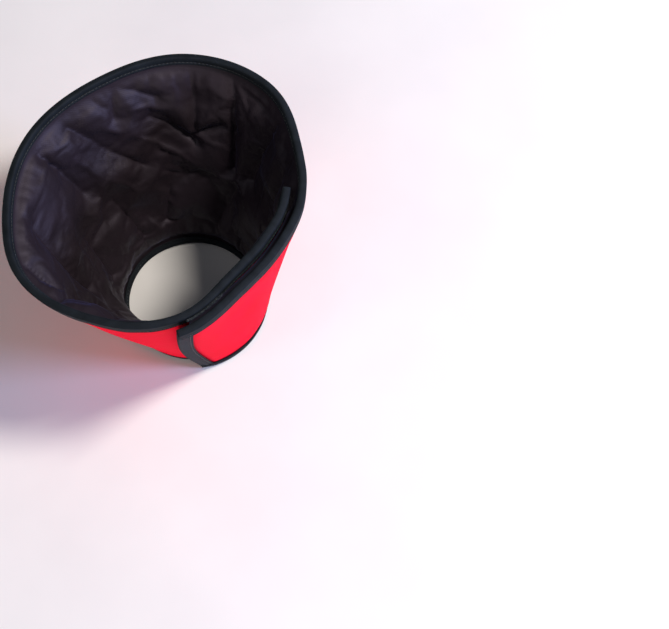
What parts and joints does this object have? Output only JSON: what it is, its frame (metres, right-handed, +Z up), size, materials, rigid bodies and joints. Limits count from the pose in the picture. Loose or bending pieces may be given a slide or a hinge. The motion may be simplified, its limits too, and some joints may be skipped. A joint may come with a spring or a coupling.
{
  "type": "elizabethan collar",
  "caption": "Soft padded recovery cone for a small dog: a red cloth panel with a black puckered lining, wrapped and closed with hook and loop tape.",
  "frame": {"origin": "middle of the footprint of the whole collar, on the floor", "axes": "+Z up the collar from the neck edge to the mouth, -Y towards the throat where the flap end lies, +X to the right seen from the throat"},
  "size_m": [0.2348, 0.2542, 0.1876],
  "materials": {
    "shell_cloth": "plain woven nylon over thin foam, matt",
    "lining_cloth": "thin black nylon, puckered, soft sheen",
    "binding_tape": "charcoal folded woven tape, stitched",
    "closure_tape": "black hook and loop tape, fuzzy"
  },
  "bodies": {
    "root": {"outer_shell": "shell_cloth", "lining": "lining_cloth", "rim_binding": "binding_tape", "neck_binding": "binding_tape", "flap_end_binding": "binding_tape", "tuck_end_binding": "binding_tape", "hook_tape": "closure_tape", "loop_tape": "closure_tape"}
  },
  "joints": []
}
